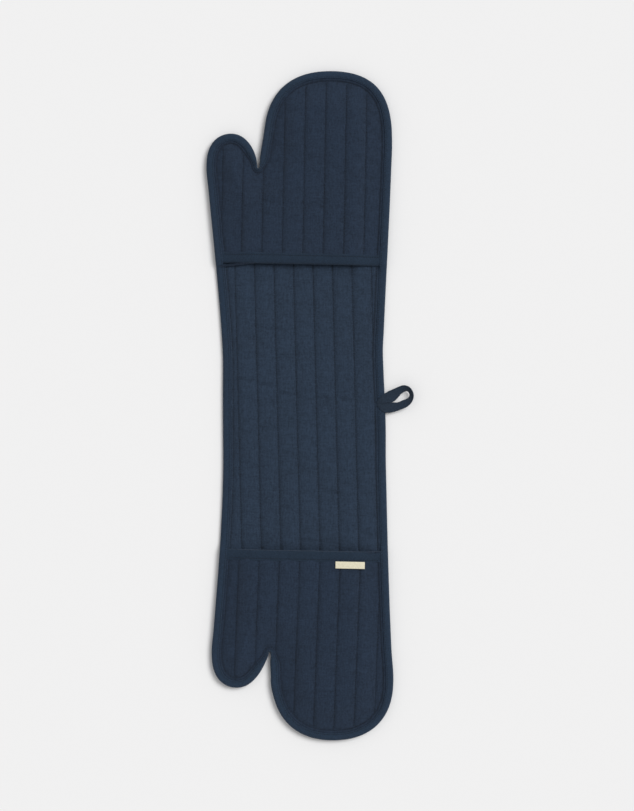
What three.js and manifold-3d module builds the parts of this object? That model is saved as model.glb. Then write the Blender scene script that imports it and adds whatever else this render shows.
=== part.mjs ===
// Double oven mitt: one long quilted strip with a mitten-shaped pocket at each end, bound all round,
// with a bound mouth on each pocket, a blank label at one mouth and a tape loop on one long edge.
// Millimetres. +Y runs along the strip, +X across it, +Z up off the table.
// The origin is on the flat underside, in the middle of the strip.
import * as THREE from "three";
import { mergeVertices } from "three/addons/utils/BufferGeometryUtils.js";
import Module from "manifold-3d";

const wasm = await Module();
wasm.setup();

// Driving dimensions
const CLOTH = 0.8; // one layer of cotton cloth or tape
const GAP = 0.3; // clearance between layers and between neighbouring pieces
const BACK_WADDING = 3.8; // heat-proof wadding in the strip
const FRONT_WADDING = 2.8; // thinner wadding in the pocket fronts
const CAVITY = 5.4; // height of the empty pocket, lying flat
const EDGE_TAPE = 10; // width of the edge binding that shows
const MOUTH_TAPE = 14.5; // width of the binding on a pocket mouth
const CUFF_WALL = 2; // side wall of the lifting cuff
const FOLD_AT = 60; // the strip folds across at this distance either side of the middle
const NOSE_SIDES = 12; // sides of the round nose at a fold
const NOSE_REACH = 70; // the nose is as long as the narrowest width within this distance of its fold
const FAR = 600; // past the end of everything

// Levels above the table
const BACK_WADDING_Z = CLOTH + GAP;
const FACE_Z = BACK_WADDING_Z + BACK_WADDING + GAP;
const STRIP_TOP = FACE_Z + CLOTH;
const FRONT_Z = STRIP_TOP + CAVITY;
const FRONT_WADDING_Z = FRONT_Z + CLOTH + GAP;
const OUTER_Z = FRONT_WADDING_Z + FRONT_WADDING + GAP;
const TOP = OUTER_Z + CLOTH;
const FOLD_Z = STRIP_TOP / 2;
const FOLD_GAP = FOLD_Z + 0.15; // each side of a fold axis, so that the ends clear each other at 90°

// The two ends: the sign of y, the line where the cuff starts to lift, the slit between thumb and fingers,
// and the mouth, as a point on its free edge and its tilt.
const UPPER = { name: "upper", side: 1, cuffLine: 300, slitX: -60.8, mouthY: 189.7, tilt: -1.17 };
const LOWER = { name: "lower", side: -1, cuffLine: 310, slitX: -45.6, mouthY: -194.2, tilt: -1.11 };

// Label and loop
const LABEL = { x: 63, width: 39, drop: 9, thick: 1.2, clear: 0.5 };
const LOOP_TAPE = 4; // height of the loop's tape above the edge binding
const LOOP_ROOT_X = 115.5; // the loop swings about this line

const navy = (shade) => new THREE.MeshStandardMaterial({ color: shade, roughness: 0.9, metalness: 0 });
const FACE_CLOTH = navy(0x2b3543);
const BINDING_CLOTH = navy(0x283443);
const LINING_CLOTH = navy(0x2a3340);
const WADDING = new THREE.MeshStandardMaterial({ color: 0xd9d6cc, roughness: 1, metalness: 0 });
const LABEL_TAPE = new THREE.MeshStandardMaterial({ color: 0xe4dec4, roughness: 0.85, metalness: 0 });

// ---- outlines ----

// The whole bound edge, anticlockwise from the right side of the middle. Each curve is given by its two
// control points, its end and the number of straight steps it is cut into.
function edgeOutline() {
  const path = new THREE.Path();
  const steps = [];
  const curve = (ax, ay, bx, by, x, y, count) => {
    path.bezierCurveTo(ax, ay, bx, by, x, y);
    steps.push(count);
  };
  path.moveTo(107, 66);
  curve(109, 140, 118, 280, 119.2, 360, 6); // right side
  curve(118.9, 420, 96, 450, 35.7, 450, 9); // upper fingertips
  curve(-24, 450, -48, 416, -52.6, 371.8, 8);
  curve(-54.8, 356, -58.5, 340, -59.6, 322, 4); // down to the slit
  curve(-59.6, 318.9, -62, 318.9, -62, 322, 4); // bottom of the slit
  curve(-63, 345, -78, 366, -96.5, 366, 6); // upper thumb
  curve(-118, 366, -130.5, 350, -130.6, 323, 6);
  curve(-127, 270, -111, 140, -108.4, 62, 6); // left side
  curve(-108.6, 20, -108.5, -20, -108, -63, 3);
  curve(-107.8, -170, -119.5, -270, -123.5, -336, 6);
  curve(-123.2, -364, -110, -379.3, -88.9, -379.3, 6); // lower thumb
  curve(-66, -379.3, -52, -350, -46.8, -334, 6);
  curve(-46.8, -330.9, -44.4, -330.9, -44.4, -334, 4); // bottom of the slit
  curve(-45.5, -350, -43.5, -360, -44, -372, 4);
  curve(-38, -425, -8, -450, 40, -450, 8); // lower fingertips
  curve(92, -450, 120.5, -420, 120.9, -372, 9);
  curve(115.6, -290, 112.5, -160, 110.8, -63, 6); // right side
  curve(111.5, -10, 108.5, 20, 107, 66, 5);
  return path.curves.flatMap((c, i) => c.getPoints(steps[i]).slice(0, -1));
}

const EDGE = edgeOutline();

// The outline moved inwards by a distance, along the mean of the normals either side of each point.
function inset(distance) {
  const count = EDGE.length;
  return EDGE.map((point, i) => {
    const before = point.clone().sub(EDGE[(i + count - 1) % count]).normalize();
    const after = EDGE[(i + 1) % count].clone().sub(point).normalize();
    const along = before.add(after).normalize();
    const cosine = along.dot(after);
    return new THREE.Vector2(-along.y, along.x).multiplyScalar(distance / cosine).add(point);
  });
}

// ---- solids ----

function solid(geometry) {
  const bare = geometry.index ? geometry.toNonIndexed() : geometry;
  bare.deleteAttribute("normal");
  bare.deleteAttribute("uv");
  const merged = mergeVertices(bare, 1e-4);
  const vertProperties = new Float32Array(merged.attributes.position.array);
  const triVerts = new Uint32Array(merged.index.array);
  return new wasm.Manifold(new wasm.Mesh({ numProp: 3, vertProperties, triVerts }));
}

function prism(points, low, high) {
  const options = { depth: high - low, bevelEnabled: false };
  return solid(new THREE.ExtrudeGeometry(new THREE.Shape(points), options).translate(0, 0, low));
}

function block(x0, x1, y0, y1, z0 = -FAR, z1 = FAR) {
  const geometry = new THREE.BoxGeometry(x1 - x0, y1 - y0, z1 - z0);
  return solid(geometry.translate((x0 + x1) / 2, (y0 + y1) / 2, (z0 + z1) / 2));
}

// Everything between two distances from the middle, at one end of the strip.
function reach(end, near, far) {
  const [a, b] = [near * end.side, far * end.side];
  return block(-FAR, FAR, Math.min(a, b), Math.max(a, b));
}

// Everything between two distances inside a pocket's mouth, measured square to its free edge.
function insideMouth(end, near, far, z0 = -FAR, z1 = FAR) {
  const [a, b] = [near * end.side, far * end.side];
  const geometry = new THREE.BoxGeometry(2 * FAR, Math.abs(b - a), z1 - z0);
  geometry.translate(0, (a + b) / 2, (z0 + z1) / 2);
  geometry.rotateZ(THREE.MathUtils.degToRad(end.tilt));
  return solid(geometry.translate(0, end.mouthY, 0));
}

function named(name, body, material) {
  const { numProp, vertProperties, triVerts } = body.getMesh();
  const positions = new Float32Array((vertProperties.length / numProp) * 3);
  for (let i = 0; i < positions.length / 3; i += 1)
    for (let k = 0; k < 3; k += 1) positions[3 * i + k] = vertProperties[numProp * i + k];
  const geometry = new THREE.BufferGeometry();
  geometry.setAttribute("position", new THREE.BufferAttribute(positions, 3));
  geometry.setIndex(new THREE.BufferAttribute(new Uint32Array(triVerts), 1));
  geometry.computeVertexNormals();
  const mesh = new THREE.Mesh(geometry, material);
  mesh.name = name;
  return mesh;
}

const IN_TAPE = inset(CLOTH + GAP); // wadding reaches into the fold of the binding
const PANEL = inset(EDGE_TAPE + GAP); // cloth stops at the binding's inner edge
const CUFF_INSIDE = inset(EDGE_TAPE + GAP + CUFF_WALL);
const CUFF_LAYERS = inset(EDGE_TAPE + GAP + CUFF_WALL + GAP);

// Binding folded over an edge of this height: a C section with a lip above and below.
function edgeBinding(height) {
  return prism(EDGE, 0, height)
    .subtract(prism(inset(EDGE_TAPE), -1, height + 1))
    .subtract(prism(inset(CLOTH), CLOTH, height - CLOTH));
}

const LOW_EDGE = edgeBinding(STRIP_TOP);
const HIGH_EDGE = edgeBinding(TOP);

// ---- the strip: two cloths with wadding between ----

function stripLayers(part, cut) {
  const wadding = prism(IN_TAPE, BACK_WADDING_Z, BACK_WADDING_Z + BACK_WADDING);
  return [
    named(`${part}_lining`, prism(PANEL, 0, CLOTH).intersect(cut), LINING_CLOTH),
    named(`${part}_wadding`, wadding.intersect(cut), WADDING),
    named(`${part}_face`, prism(PANEL, FACE_Z, STRIP_TOP).intersect(cut), FACE_CLOTH),
  ];
}

// Round nose of wadding that fills a fold, so that the strip has no hole there at any angle.
function foldNose(y) {
  const edge = IN_TAPE.filter((p) => Math.abs(p.y - y) < NOSE_REACH).map((p) => p.x);
  const left = Math.max(...edge.filter((x) => x < 0));
  const right = Math.min(...edge.filter((x) => x > 0));
  const nose = new THREE.CylinderGeometry(BACK_WADDING / 2, BACK_WADDING / 2, right - left, NOSE_SIDES);
  nose.rotateZ(Math.PI / 2);
  return solid(nose.translate((left + right) / 2, y, FOLD_Z));
}

function centreBand() {
  const end = FOLD_AT - FOLD_GAP;
  const flat = block(-FAR, FAR, -end, end);
  const [lining, , face] = stripLayers("band", flat);
  const wadding = prism(IN_TAPE, BACK_WADDING_Z, BACK_WADDING_Z + BACK_WADDING)
    .intersect(block(-FAR, FAR, -FOLD_AT, FOLD_AT))
    .add(foldNose(FOLD_AT))
    .add(foldNose(-FOLD_AT));
  return [
    lining,
    named("band_wadding", wadding, WADDING),
    face,
    named("band_binding_left", LOW_EDGE.intersect(block(-FAR, 0, -end, end)), BINDING_CLOTH),
    named("band_binding_right", LOW_EDGE.intersect(block(0, FAR, -end, end)), BINDING_CLOTH),
  ];
}

// ---- one mitten end: strip, the fixed front over the hand, and the binding ----

function mittBinding(end) {
  const start = FOLD_AT + FOLD_GAP;
  const low = reach(end, start, end.cuffLine - GAP / 2);
  const high = reach(end, end.cuffLine + GAP / 2, FAR);
  const left = block(-FAR, end.slitX - GAP / 2, -FAR, FAR);
  const right = block(end.slitX + GAP / 2, FAR, -FAR, FAR);
  return [
    named(`${end.name}_binding_left`, LOW_EDGE.intersect(low).intersect(left), BINDING_CLOTH),
    named(`${end.name}_binding_right`, LOW_EDGE.intersect(low).intersect(right), BINDING_CLOTH),
    named(`${end.name}_binding_thumb`, HIGH_EDGE.intersect(high).intersect(left), BINDING_CLOTH),
    named(`${end.name}_binding_fingers`, HIGH_EDGE.intersect(high).intersect(right), BINDING_CLOTH),
  ];
}

function handFront(end) {
  const cut = reach(end, end.cuffLine + GAP / 2, FAR);
  const lining = prism(PANEL, FRONT_Z, FRONT_Z + CLOTH);
  const wadding = prism(IN_TAPE, FRONT_WADDING_Z, FRONT_WADDING_Z + FRONT_WADDING);
  return [
    named(`${end.name}_hand_lining`, lining.intersect(cut), LINING_CLOTH),
    named(`${end.name}_hand_wadding`, wadding.intersect(cut), WADDING),
    named(`${end.name}_hand_outer`, prism(PANEL, OUTER_Z, TOP).intersect(cut), FACE_CLOTH),
  ];
}

// The cuff lifts from the cuff line to the mouth, so its side walls stand free on the strip.
function cuff(end) {
  const flap = reach(end, 0, end.cuffLine - GAP / 2);
  const panel = insideMouth(end, MOUTH_TAPE + GAP, FAR).intersect(flap);
  const inTape = insideMouth(end, CLOTH + GAP, FAR).intersect(flap);
  const lining = prism(CUFF_LAYERS, FRONT_Z, FRONT_Z + CLOTH);
  const outer = prism(PANEL, STRIP_TOP + GAP, TOP).subtract(prism(CUFF_INSIDE, -1, OUTER_Z));
  const wadding = prism(CUFF_LAYERS, FRONT_WADDING_Z, FRONT_WADDING_Z + FRONT_WADDING);
  const tape = prism(PANEL, FRONT_Z, TOP)
    .intersect(insideMouth(end, 0, MOUTH_TAPE))
    .subtract(insideMouth(end, CLOTH, FAR, FRONT_Z + CLOTH, OUTER_Z));
  return [
    named(`${end.name}_cuff_lining`, lining.intersect(panel), LINING_CLOTH),
    named(`${end.name}_cuff_wadding`, wadding.intersect(inTape), WADDING),
    named(`${end.name}_cuff_outer`, outer.intersect(panel), FACE_CLOTH),
    named(`${end.name}_mouth_binding`, tape, BINDING_CLOTH),
  ];
}

function mittEnd(end) {
  const group = new THREE.Group();
  const strip = stripLayers(`${end.name}_back`, reach(end, FOLD_AT + FOLD_GAP, FAR));
  group.add(...strip, ...handFront(end), ...mittBinding(end), ...cuff(end));
  return group;
}

// ---- label: a folded tape, caught under the lower mouth binding's stitched edge ----

function label() {
  const radius = LABEL.thick / 2;
  const profile = new THREE.Shape();
  profile.moveTo(LABEL.clear, -radius);
  profile.lineTo(LABEL.drop - radius, -radius);
  profile.absarc(LABEL.drop - radius, 0, radius, -Math.PI / 2, Math.PI / 2, false);
  profile.lineTo(LABEL.clear, radius);
  const options = { depth: LABEL.width, bevelEnabled: false, curveSegments: 6 };
  const geometry = new THREE.ExtrudeGeometry(profile, options).translate(0, 0, -LABEL.width / 2);
  geometry.applyMatrix4(new THREE.Matrix4().makeBasis(
    new THREE.Vector3(0, -1, 0),
    new THREE.Vector3(0, 0, 1),
    new THREE.Vector3(-1, 0, 0),
  ));
  const mesh = named("label", solid(geometry), LABEL_TAPE);
  const tilt = THREE.MathUtils.degToRad(LOWER.tilt);
  mesh.rotation.z = tilt;
  mesh.position.set(LABEL.x, LOWER.mouthY + LABEL.x * Math.tan(tilt) - MOUTH_TAPE, TOP + GAP + radius);
  return mesh;
}

// ---- hanging loop: a tape tail sewn on the edge binding, and the free loop past the edge ----

function hangingLoop() {
  const half = LOOP_TAPE / 2;
  const low = STRIP_TOP + GAP;
  const tailEnd = LOOP_ROOT_X - half - GAP / 2;
  const freeStart = LOOP_ROOT_X + half + GAP / 2;
  const tail = new THREE.Shape();
  tail.moveTo(99.8, -4);
  tail.lineTo(tailEnd, -9);
  tail.lineTo(tailEnd, 18.6);
  tail.lineTo(99.8, 9);
  const loop = new THREE.Shape();
  loop.moveTo(freeStart, -7.8);
  loop.bezierCurveTo(130, -6.5, 139, -2.5, 143.5, 3);
  loop.bezierCurveTo(149.5, 9, 149.5, 14.5, 146.8, 19);
  loop.bezierCurveTo(143, 25.5, 136, 28.5, 131, 27.6);
  loop.lineTo(freeStart, 20.6);
  const hole = new THREE.Path(); // its far end is cut square across, where a hook bears
  hole.moveTo(120.8, 4.6);
  hole.lineTo(135.8, 19.6);
  hole.lineTo(137.6, 19.8);
  hole.lineTo(142.6, 14.8);
  hole.lineTo(142.6, 13.2);
  hole.lineTo(129.4, 4.3);
  loop.holes.push(hole);
  const flatTape = (shape) => {
    const options = { depth: LOOP_TAPE, bevelEnabled: false, curveSegments: 6 };
    return solid(new THREE.ExtrudeGeometry(shape, options).translate(0, 0, low));
  };
  return [
    named("loop_tail", flatTape(tail), BINDING_CLOTH),
    named("hanging_loop", flatTape(loop), BINDING_CLOTH),
  ];
}

const doubleMitt = new THREE.Group();
doubleMitt.add(...centreBand(), mittEnd(UPPER), mittEnd(LOWER), label(), ...hangingLoop());

export default doubleMitt;
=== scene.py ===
# %% [markdown]
# # A double oven mitt in cloth, wadding and tape
# The real thing is one long quilted strip, about 90 cm from fingertip to fingertip, with a mitten-shaped
# pocket sewn on each end. A bias tape wraps the whole edge, another tape wraps each pocket's mouth,
# a cream label is caught in one mouth and a loop of tape stands off one side.
# The measured model is loaded first as a fixed frame. Every cloth piece below takes its place from it.

# %% Load the frame
import math
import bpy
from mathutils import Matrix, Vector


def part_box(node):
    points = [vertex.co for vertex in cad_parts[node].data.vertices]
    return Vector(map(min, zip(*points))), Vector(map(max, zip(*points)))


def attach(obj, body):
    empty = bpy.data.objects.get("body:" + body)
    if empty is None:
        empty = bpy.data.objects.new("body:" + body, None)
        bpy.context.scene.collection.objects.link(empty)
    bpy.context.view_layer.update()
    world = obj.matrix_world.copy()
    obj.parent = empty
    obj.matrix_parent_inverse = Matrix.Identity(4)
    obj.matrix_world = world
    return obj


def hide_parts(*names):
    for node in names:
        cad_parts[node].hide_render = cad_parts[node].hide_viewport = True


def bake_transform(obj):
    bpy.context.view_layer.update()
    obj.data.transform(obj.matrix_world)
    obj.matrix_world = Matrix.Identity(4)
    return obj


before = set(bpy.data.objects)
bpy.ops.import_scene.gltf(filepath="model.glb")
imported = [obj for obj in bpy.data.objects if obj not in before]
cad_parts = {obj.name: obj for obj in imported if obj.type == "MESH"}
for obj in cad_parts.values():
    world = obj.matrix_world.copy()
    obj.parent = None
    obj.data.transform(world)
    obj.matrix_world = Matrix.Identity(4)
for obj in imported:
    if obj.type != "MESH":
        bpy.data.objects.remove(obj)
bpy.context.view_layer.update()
from types import SimpleNamespace

import bmesh
import bpy
import numpy as np
from mathutils import Vector
from mathutils.bvhtree import BVHTree
from mathutils.kdtree import KDTree

MM = 0.001

# %% [markdown]
# ## Camera, light and floor
# The mitt lies flat and is looked at from straight above, so the camera hangs over it with a long lens.
# One broad, soft sun comes low from the upper right, which is what draws the quilting and leaves a
# short shadow on the left. A pale world fills the rest, as white studio walls would.

# %% Camera
camera_data = bpy.data.cameras.new("overhead_camera")
camera_data.lens, camera_data.sensor_width = 85, 36
camera_data.clip_start, camera_data.clip_end = 0.05, 20
camera = bpy.data.objects.new("overhead_camera", camera_data)
camera.location = (0.0182, 0.0003, 2.58)
bpy.context.scene.collection.objects.link(camera)
bpy.context.scene.camera = camera

# %% Light
SUN_STRENGTH = 2.1
WORLD_STRENGTH = 0.52
sun_data = bpy.data.lights.new("window_light", "SUN")
sun_data.energy, sun_data.angle = SUN_STRENGTH, math.radians(32)
sun = bpy.data.objects.new("window_light", sun_data)
sun.rotation_euler = Vector((0.62, 0.42, 0.9)).to_track_quat("Z", "Y").to_euler()
bpy.context.scene.collection.objects.link(sun)
world = bpy.data.worlds.new("pale_studio")
world.use_nodes = True
world.node_tree.nodes["Background"].inputs["Color"].default_value = (1, 1, 1, 1)
world.node_tree.nodes["Background"].inputs["Strength"].default_value = WORLD_STRENGTH
bpy.context.scene.world = world
view = bpy.context.scene.view_settings
view.view_transform, view.look, view.exposure, view.gamma = "Standard", "None", 0, 1


# %% [markdown]
# ## Materials
# All the cloth here is cotton dyed one dark blue, and yet no two pieces look quite alike: the panels are a
# plain weave with slightly uneven threads, the tape is cut across the grain and shows its threads at
# 45 degrees, and the sewing thread is a shade darker and shinier. So there is one recipe for woven cotton,
# given a colour, a thread size and a set of coordinates, and each cloth is made from it.

# %% Small node helpers
def material_with(name):
    mat = bpy.data.materials.new(name)
    mat.use_nodes = True
    return mat, mat.node_tree.nodes, mat.node_tree.links, mat.node_tree.nodes["Principled BSDF"]


def linear(red, green, blue):
    """Linear colour of an sRGB colour given as 0 to 255."""
    parts = [c / 255 for c in (red, green, blue)]
    return tuple(c / 12.92 if c <= 0.04045 else ((c + 0.055) / 1.055) ** 2.4 for c in parts)


def node(nodes, kind, **settings):
    made = nodes.new(kind)
    for name, value in settings.items():
        if name in made.inputs:
            made.inputs[name].default_value = value
        else:
            setattr(made, name, value)
    return made


def maths(nodes, links, operation, a, b=None, c=None, clamp=False):
    made = nodes.new("ShaderNodeMath")
    made.operation, made.use_clamp = operation, clamp
    for socket, value in zip(made.inputs, (a, b, c)):
        if value is None:
            continue
        if isinstance(value, (int, float)):
            socket.default_value = value
        else:
            links.new(value, socket)
    return made.outputs[0]


# %% [markdown]
# The weave is two sets of rounded threads crossing: a sine along each direction, and a product of the two
# that says which thread lies on top. It raises the threads by about a tenth of a millimetre in the
# bump. Cloth reads its place on the object, turned a little because it is never cut quite straight. Tape
# reads its own length and width, turned by 45 degrees because bias tape is cut across the grain.

# %% Threads
def cloth_place(nodes, links, bias):
    """Where a point is on the cloth, with the threads along X and Y."""
    if bias:
        source = node(nodes, "ShaderNodeUVMap", uv_map="along_tape").outputs["UV"]
    else:
        source = nodes.new("ShaderNodeTexCoord").outputs["Object"]
    turned = node(nodes, "ShaderNodeMapping")
    turned.inputs["Rotation"].default_value[2] = math.radians(45 if bias else 1.4)
    links.new(source, turned.inputs["Vector"])
    return turned.outputs["Vector"]


def thread_height(nodes, links, place, thread):
    """Height of the crossing threads, for threads this many mm apart."""
    split = nodes.new("ShaderNodeSeparateXYZ")
    links.new(place, split.inputs[0])
    waves = []
    for axis in "XY":
        angle = maths(nodes, links, "MULTIPLY", split.outputs[axis], math.pi / (thread * MM))
        waves.append(maths(nodes, links, "SINE", angle))
    over = maths(nodes, links, "MULTIPLY", *waves)
    rounded = [maths(nodes, links, "ABSOLUTE", wave) for wave in waves]
    return maths(nodes, links, "MULTIPLY_ADD", over, 0.5, maths(nodes, links, "MULTIPLY", *rounded))


# %% [markdown]
# Four noises vary the colour: long thin slubs along each thread direction, a fine heather, and broad soft
# patches from washing and wear. Two attributes of the quilted pieces join them. Puff is 0 in a sewn line
# and 1 on the crest of a channel, where cloth is rubbed and fades first. Groove rises to 1 in a line of
# stitches, and nearly so in a crease, and darkens the colour there as painted shade.

# %% Uneven dye and wear
# Each noise: how it is stretched, its detail, and its share in the colour.
CLOUDS = [
    ((60, 800, 300), 3.0, 0.42), ((950, 80, 300), 3.0, 0.75),
    ((430, 430, 430), 4.0, 1.05), ((16, 16, 16), 3.0, 0.25),
]
# The second share darkens the lines of stitches and the creases: painted shade.
THREAD_SHARE, GROOVE_PAINTED_SHADE = 0.16, -0.13


def clouds(nodes, links, place):
    """The four noises, each about 0 on average."""
    made = []
    for scale, detail, _ in CLOUDS:
        stretched = node(nodes, "ShaderNodeMapping")
        stretched.inputs["Scale"].default_value = scale
        links.new(place, stretched.inputs["Vector"])
        cloud = node(nodes, "ShaderNodeTexNoise", Scale=1.0, Detail=detail, Roughness=0.6)
        links.new(stretched.outputs["Vector"], cloud.inputs["Vector"])
        made.append(maths(nodes, links, "SUBTRACT", cloud.outputs["Fac"], 0.5))
    return made


def unevenness(nodes, links, shades, height, puff_light, contrast):
    """How much lighter or darker than its dye the cloth is at a point."""
    total = maths(nodes, links, "MULTIPLY", shades[0], CLOUDS[0][2])
    for shade, (_, _, share) in zip(shades[1:], CLOUDS[1:]):
        total = maths(nodes, links, "MULTIPLY_ADD", shade, share, total)
    total = maths(nodes, links, "MULTIPLY_ADD", height, THREAD_SHARE, total)
    total = maths(nodes, links, "MULTIPLY", total, contrast)
    # Puff lightens the rubbed crests as wear; groove darkens the stitch lines and creases as painted shade.
    if puff_light:
        for name, share in (("puff", puff_light), ("groove", GROOVE_PAINTED_SHADE)):
            wear_and_painted_shade = node(nodes, "ShaderNodeAttribute", attribute_name=name)
            total = maths(nodes, links, "MULTIPLY_ADD", wear_and_painted_shade.outputs["Fac"], share, total)
    return total


# %% [markdown]
# The recipe puts these together. The unevenness picks a colour between a dark and a light shade of the
# dye, the threads and the heather make the bump, and the patches make worn places a little rougher.
# A sheen stands for the fine fuzz that cotton has, which is what keeps dark cloth from looking like plastic.

# %% Woven cotton
DARKEST, LIGHTEST = 0.42, 1.62  # shares of the dye's colour


def woven_cotton(
    name, colour, thread=0.75, bias=False, puff_light=0.0, rough=0.92, depth=0.10, sheen=0.18, contrast=1.0
):
    mat, nodes, links, shader = material_with(name)
    place = cloth_place(nodes, links, bias)
    height = thread_height(nodes, links, place, thread)
    shades = clouds(nodes, links, place)
    total = unevenness(nodes, links, shades, height, puff_light, contrast)
    ramp = nodes.new("ShaderNodeValToRGB")
    links.new(maths(nodes, links, "ADD", total, 0.5, clamp=True), ramp.inputs["Fac"])
    for element, share in zip(ramp.color_ramp.elements, (DARKEST, LIGHTEST)):
        element.color = (*[c * share for c in colour], 1)
    links.new(ramp.outputs["Color"], shader.inputs["Base Color"])

    bump = node(nodes, "ShaderNodeBump", Strength=0.55, Distance=depth * MM)
    links.new(maths(nodes, links, "MULTIPLY_ADD", shades[2], 0.8, height), bump.inputs["Height"])
    links.new(bump.outputs["Normal"], shader.inputs["Normal"])
    fuzz = maths(nodes, links, "MULTIPLY_ADD", shades[3], 0.14, rough, clamp=True)
    links.new(fuzz, shader.inputs["Roughness"])
    shader.inputs["Sheen Weight"].default_value = sheen
    shader.inputs["Sheen Roughness"].default_value = 0.55
    shader.inputs["Sheen Tint"].default_value = (0.55, 0.66, 0.85, 1)
    shader.inputs["Specular IOR Level"].default_value = 0.16
    return mat


# %% The seven cloths
face_cotton = woven_cotton("face_cotton", linear(33.4, 45, 59.9), puff_light=0.12, contrast=1.25)
front_cotton = woven_cotton("front_cotton", linear(28.7, 39.4, 54.4), puff_light=0.12, contrast=1.25)
bias_tape = woven_cotton("bias_tape", linear(31.2, 45, 61.3), thread=0.6, bias=True, rough=0.88)
mouth_tape = woven_cotton("mouth_tape", linear(27.3, 40.4, 55.3), thread=0.6, bias=True, rough=0.88)
loop_tape = woven_cotton("loop_tape", linear(31, 42, 55), thread=0.6, bias=True, rough=0.86)
sewing_thread = woven_cotton("sewing_thread", linear(12, 17, 25), thread=0.35, rough=0.7, sheen=0.1)
label_ribbon = woven_cotton(
    "label_ribbon", linear(216.5, 210, 186), thread=0.35, bias=True, depth=0.05, sheen=0.05, contrast=0.3
)
print("cloths:", [m.name for m in bpy.data.materials])

# %% [markdown]
# ## The line of the bound edge
# In the frame, the wadding of the strip is cut 1.1 mm inside the bound edge, as straight chords of the
# real curve. Its upper face gives those chords in order, walking round each of the three lengths of
# wadding and leaving out the straight cuts between them. A smooth curve through the points, moved out
# again by 1.1 mm, is the edge that every tape, seam and panel below is measured from.

# %% Walk round a layer of wadding
WADDING_IN_TAPE = 1.1 * MM


def edge_runs(name):
    """The outer edge of a layer of wadding, anticlockwise, as lists of points without the cut ends."""
    bm = bmesh.new()
    bm.from_mesh(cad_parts[name].data)
    bmesh.ops.remove_doubles(bm, verts=bm.verts, dist=1e-5)
    bm.normal_update()
    top = max(v.co.z for v in bm.verts)
    flat = [f for f in bm.faces if f.normal.z > 0.999 and abs(f.verts[0].co.z - top) < 1e-5]
    onward = {}
    for loop in (loop for face in flat for loop in face.loops):
        if not any(other in flat for other in loop.edge.link_faces if other is not loop.face):
            onward[loop.vert] = loop.link_loop_next.vert
    reach = [abs(v.co.y) for v in onward]
    cut = max(reach) if name.startswith("band") else min(reach)
    onward = {a: b for a, b in onward.items() if max(abs(abs(v.co.y) - cut) for v in (a, b)) > 1e-5}
    runs = []
    for start in (a for a in onward if a not in onward.values()):
        run = [start]
        while run[-1] in onward:
            run.append(onward[run[-1]])
        runs.append([(v.co.x, v.co.y) for v in run])
    bm.free()
    return sorted(runs, key=lambda run: run[0][0])


band_left, band_right = edge_runs("band_wadding")
(upper_run,), (lower_run,) = edge_runs("upper_back_wadding"), edge_runs("lower_back_wadding")
chords = np.array(upper_run + band_left + lower_run + band_right)
print("chord points round the edge:", len(chords))


# %% [markdown]
# The curve is a cubic through the chord points. Its slope at each point is the mean of the two chords,
# weighted so that the tight turn at the bottom of a slit keeps its shape next to the long sides.
# It is cut again into short steps: about 3 mm along the sides, and a third of a millimetre round the
# bottoms of the slits between thumb and fingers.

# %% A smooth curve through the chord points
def hermite(p, q, m, n, t):
    """The cubic from p to q that starts with slope m and ends with slope n."""
    from_p, from_q = 2 * t**3 - 3 * t**2 + 1, 3 * t**2 - 2 * t**3
    return from_p * p + (t**3 - 2 * t**2 + t) * m + from_q * q + (t**3 - t**2) * n


def through(points, cuts=16):
    """A smooth closed curve through points, with that many cuts for each chord."""
    after, before = np.roll(points, -1, 0), np.roll(points, 1, 0)
    h1 = np.linalg.norm(after - points, axis=1)[:, None]
    h0 = np.roll(h1, 1, 0)
    slope = ((after - points) / h1 * h0 + (points - before) / h0 * h1) / (h0 + h1)
    t = (np.arange(cuts) / cuts)[None, :, None]
    m, n = (slope * h1)[:, None], (np.roll(slope, -1, 0) * h1)[:, None]
    return hermite(points[:, None], after[:, None], m, n, t).reshape(-1, 2)


def inward(line):
    """Unit normals of an anticlockwise closed line, towards its inside."""
    along = np.roll(line, -1, 0) - np.roll(line, 1, 0)
    along /= np.linalg.norm(along, axis=1)[:, None]
    return np.stack([-along[:, 1], along[:, 0]], axis=1)


def lengths(line):
    return np.concatenate([[0], np.cumsum(np.linalg.norm(np.roll(line, -1, 0) - line, axis=1))])


dense = through(chords)
dense = dense - inward(dense) * WADDING_IN_TAPE
slit_x = {
    end: (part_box(f"{end}_binding_thumb")[1].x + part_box(f"{end}_binding_fingers")[0].x) / 2
    for end in ("upper", "lower")
}
MITT_FROM, NEAR_SLIT = 250 * MM, 1.2 * MM  # the slits are past this y, and a bottom is this near to its x


def slit_bottom(line, end):
    """Index of the point at the bottom of an end's slit."""
    side = 1 if end == "upper" else -1
    in_mitt = line[:, 1] * side >= MITT_FROM
    near = np.flatnonzero(in_mitt & (np.abs(line[:, 0] - slit_x[end]) < NEAR_SLIT))
    return int(near[np.argmin(line[near, 1] * side)])


# %% Cut the edge into steps
SIDE_STEP, SLIT_STEP, SLIT_ZONE = 3.0 * MM, 0.35 * MM, 9 * MM
run_length = lengths(dense)
total = run_length[-1]
bottoms = [run_length[slit_bottom(dense, end)] for end in ("upper", "lower")]
away = np.min([np.abs((run_length[:-1] - b + total / 2) % total - total / 2) for b in bottoms], axis=0)
step = SLIT_STEP + (SIDE_STEP - SLIT_STEP) * np.clip((away - SLIT_ZONE) / (30 * MM), 0, 1)
count = np.concatenate([[0], np.cumsum(np.diff(run_length) / step)])
marks = np.linspace(0, count[-1], int(count[-1]) + 1)[:-1]
at = np.interp(marks, count, run_length)
ring_of = [np.interp(at, run_length, np.append(dense[:, k], dense[0, k])) for k in (0, 1)]
edge = np.stack(ring_of, axis=1)
edge_in = inward(edge)
print(f"bound edge {total:.3f} m long in {len(edge)} steps, x {edge[:,0].min():.4f} to {edge[:,0].max():.4f}")


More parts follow.
